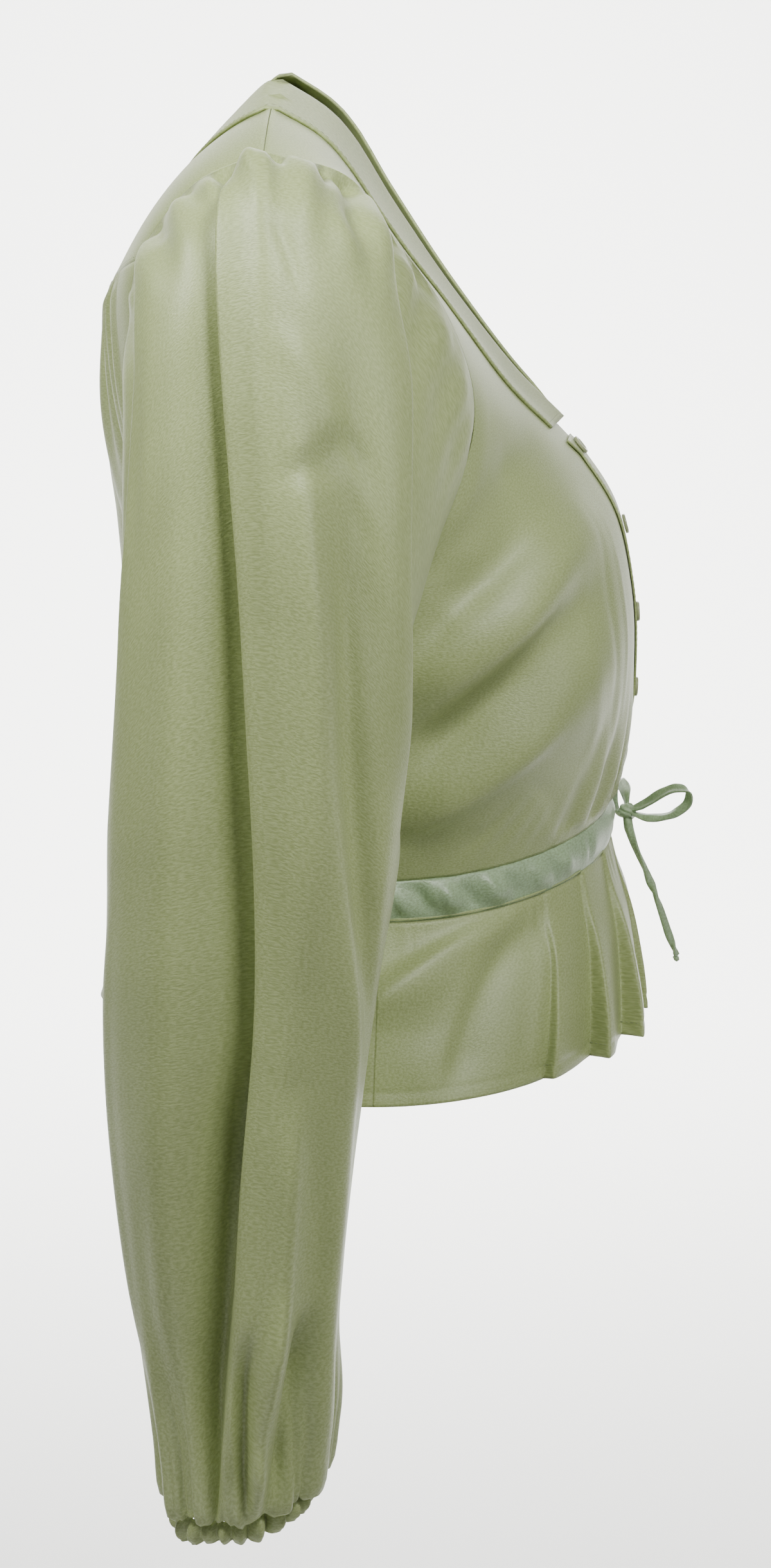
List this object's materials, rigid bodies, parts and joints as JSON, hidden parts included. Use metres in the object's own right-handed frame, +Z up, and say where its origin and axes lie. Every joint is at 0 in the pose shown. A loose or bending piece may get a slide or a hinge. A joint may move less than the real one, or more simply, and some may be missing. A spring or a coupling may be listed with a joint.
{
  "type": "button-up blouse",
  "caption": "Satin blouse filled out as worn: gathered bishop sleeves with elastic cuffs, flat collar, buttoned front, back yoke, drawstring waist with a bow and a flared peplum.",
  "frame": {"origin": "midway between the two neck points of the shoulder seams, where the wearer's shoulders hold the garment up", "axes": "+X to the wearer's front, +Y to the wearer's left, +Z up"},
  "size_m": [0.3047, 0.5555, 0.6596],
  "materials": {
    "satin": "hammered satin, soft sheen",
    "bands": "satin cut on the other grain, slightly brighter sheen",
    "resin": "dyed resin, glossy"
  },
  "bodies": {
    "root": {"back": "satin", "back_yoke": "satin", "front_right": "satin", "front_left": "satin", "front_band": "satin", "collar": "satin", "sleeve_right": "satin", "sleeve_left": "satin", "cuff_right": "satin", "cuff_left": "satin", "waist_casing": "bands", "peplum_right": "satin", "peplum_back": "satin", "peplum_left": "satin", "button_1": "resin", "button_2": "resin", "button_3": "resin", "button_4": "resin", "button_5": "resin", "tie_knot": "bands", "tie_loop_near": "bands", "tie_loop_far": "bands", "tie_tail_near": "bands", "tie_tail_far": "bands", "tie_end_knot_near": "bands", "tie_end_knot_far": "bands"}
  },
  "joints": []
}
